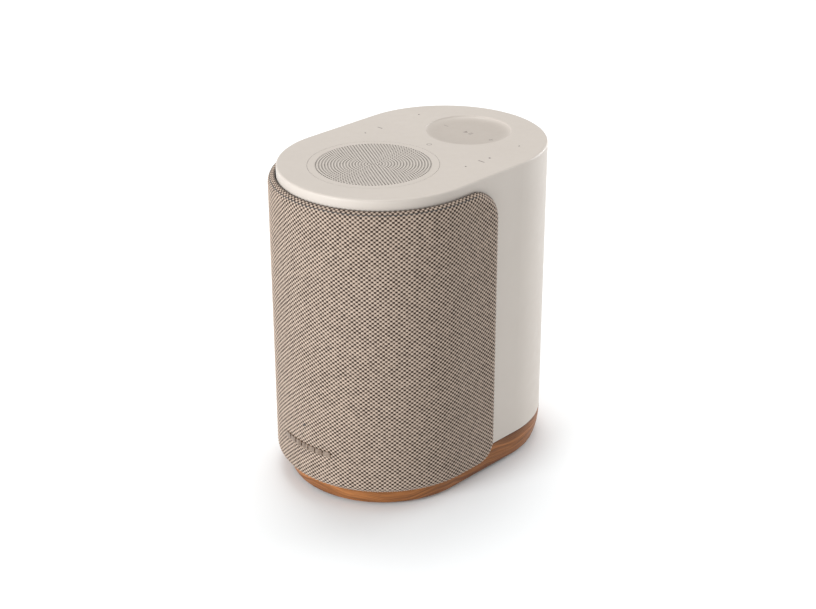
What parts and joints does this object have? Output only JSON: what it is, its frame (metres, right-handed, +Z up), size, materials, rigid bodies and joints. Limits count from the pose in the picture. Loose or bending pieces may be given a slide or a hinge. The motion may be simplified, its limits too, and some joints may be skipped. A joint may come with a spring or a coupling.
{
  "type": "smart speaker",
  "caption": "Table-top smart speaker: rounded oblong plastic case with a woven fabric front, round top grille, shallow touch dish and a tapered wood base.",
  "frame": {"origin": "centre of the rubber foot's underside, midway between the two half rounds of the case", "axes": "+Z up; -Y out of the fabric front; +X is on the right for someone facing the fabric front from outside"},
  "size_m": [0.13, 0.1791, 0.194],
  "materials": {
    "shell_plastic": "fine matte warm white moulding",
    "grille_plastic": "fine matte warm white moulding",
    "icon_print": "grey-brown inlay",
    "grille_cloth": "two-tone woven cloth, beige with dark gaps",
    "black_plastic": "black moulding",
    "badge_metal": "satin, blank",
    "light_lens": "smoked lens",
    "walnut": "oiled walnut, grain along the sides",
    "foot_rubber": "matte",
    "screw_steel": "plated",
    "basket_steel": "black coated",
    "magnet_iron": "ferrite and plated steel",
    "cone_paper": "black coated paper",
    "coil_copper": "lacquered copper",
    "spider_cloth": "impregnated cloth",
    "surround_rubber": "matte",
    "diaphragm_metal": "dark anodised",
    "dome_silk": "coated silk",
    "foam": "open-cell foam",
    "board_green": "glass-fibre board with soldered parts",
    "sink_aluminium": "extruded",
    "panel_plastic": "fine matte",
    "pin_brass": "nickel-plated brass"
  },
  "bodies": {
    "speaker": {"acoustic_cabinet": "black_plastic", "acoustic_foam": "foam", "amplifier_board": "board_green", "antennas": "coil_copper", "badge": "badge_metal", "base_plate": "black_plastic", "base_screws": "screw_steel", "board_screws": "screw_steel", "board_standoffs": "screw_steel", "cabinet_back": "black_plastic", "driver_screws": "screw_steel", "fabric_cover": "grille_cloth", "front_light": "light_lens", "grille_frame": "black_plastic", "heat_sink": "sink_aluminium", "housing_shell": "shell_plastic", "main_board": "board_green", "main_board_brackets": "basket_steel", "microphones": "black_plastic", "passive_frames": "black_plastic", "power_inlet": "black_plastic", "power_inlet_pins": "pin_brass", "power_supply_board": "board_green", "rear_panel": "panel_plastic", "rubber_foot": "foot_rubber", "shadow_gap_spacer": "black_plastic", "socket_board": "board_green", "top_driver_basket": "basket_steel", "top_driver_magnet": "magnet_iron", "top_grille": "grille_plastic", "top_grille_support": "black_plastic", "top_light_board": "board_green", "top_light_pipe": "light_lens", "touch_icons": "icon_print", "touch_ribbon_cable": "black_plastic", "touch_sensor_board": "board_green", "transformer": "magnet_iron", "tweeter_faceplates": "black_plastic", "tweeter_magnets": "magnet_iron", "usb_socket": "basket_steel", "wood_base": "walnut", "woofer_basket": "basket_steel", "woofer_magnet": "magnet_iron"},
    "woofer_moving": {"woofer_cone": "cone_paper", "woofer_dust_cap": "cone_paper", "woofer_voice_coil": "coil_copper", "woofer_spider": "spider_cloth", "woofer_surround": "surround_rubber"},
    "top_driver_moving": {"top_driver_cone": "cone_paper", "top_driver_voice_coil": "coil_copper", "top_driver_spider": "spider_cloth", "top_driver_surround": "surround_rubber"},
    "left_passive_moving": {"left_passive_diaphragm": "diaphragm_metal", "left_passive_surround": "surround_rubber"},
    "right_passive_moving": {"right_passive_diaphragm": "diaphragm_metal", "right_passive_surround": "surround_rubber"},
    "left_tweeter_moving": {"left_tweeter_dome": "dome_silk"},
    "right_tweeter_moving": {"right_tweeter_dome": "dome_silk"},
    "button": {"pairing_button": "panel_plastic"},
    "switch_slider": {"microphone_switch_slider": "icon_print"}
  },
  "joints": [
    {"name": "woofer_stroke", "type": "slide", "parent": "speaker", "child": "woofer_moving", "axis": [0, -1, 0], "range_m": [-0.004, 0.004], "stiffness_N_per_m": 1800},
    {"name": "top_driver_stroke", "type": "slide", "parent": "speaker", "child": "top_driver_moving", "axis": [0, 0, 1], "range_m": [-0.0015, 0.0015], "stiffness_N_per_m": 1500},
    {"name": "left_passive_stroke", "type": "slide", "parent": "speaker", "child": "left_passive_moving", "axis": [-1, 0, 0], "range_m": [-0.0035, 0.0035], "stiffness_N_per_m": 900},
    {"name": "right_passive_stroke", "type": "slide", "parent": "speaker", "child": "right_passive_moving", "axis": [1, 0, 0], "range_m": [-0.0035, 0.0035], "stiffness_N_per_m": 900},
    {"name": "left_tweeter_stroke", "type": "slide", "parent": "speaker", "child": "left_tweeter_moving", "axis": [0, -1, 0], "range_m": [-0.00025, 0.00025], "stiffness_N_per_m": 4000},
    {"name": "right_tweeter_stroke", "type": "slide", "parent": "speaker", "child": "right_tweeter_moving", "axis": [0, -1, 0], "range_m": [-0.00025, 0.00025], "stiffness_N_per_m": 4000},
    {"name": "pairing_button_press", "type": "slide", "parent": "speaker", "child": "button", "axis": [0, -1, 0], "range_m": [0, 0.0008], "stiffness_N_per_m": 900, "springref_m": -0.0006},
    {"name": "microphone_switch_slide", "type": "slide", "parent": "speaker", "child": "switch_slider", "axis": [1, 0, 0], "range_m": [0, 0.0024]}
  ]
}
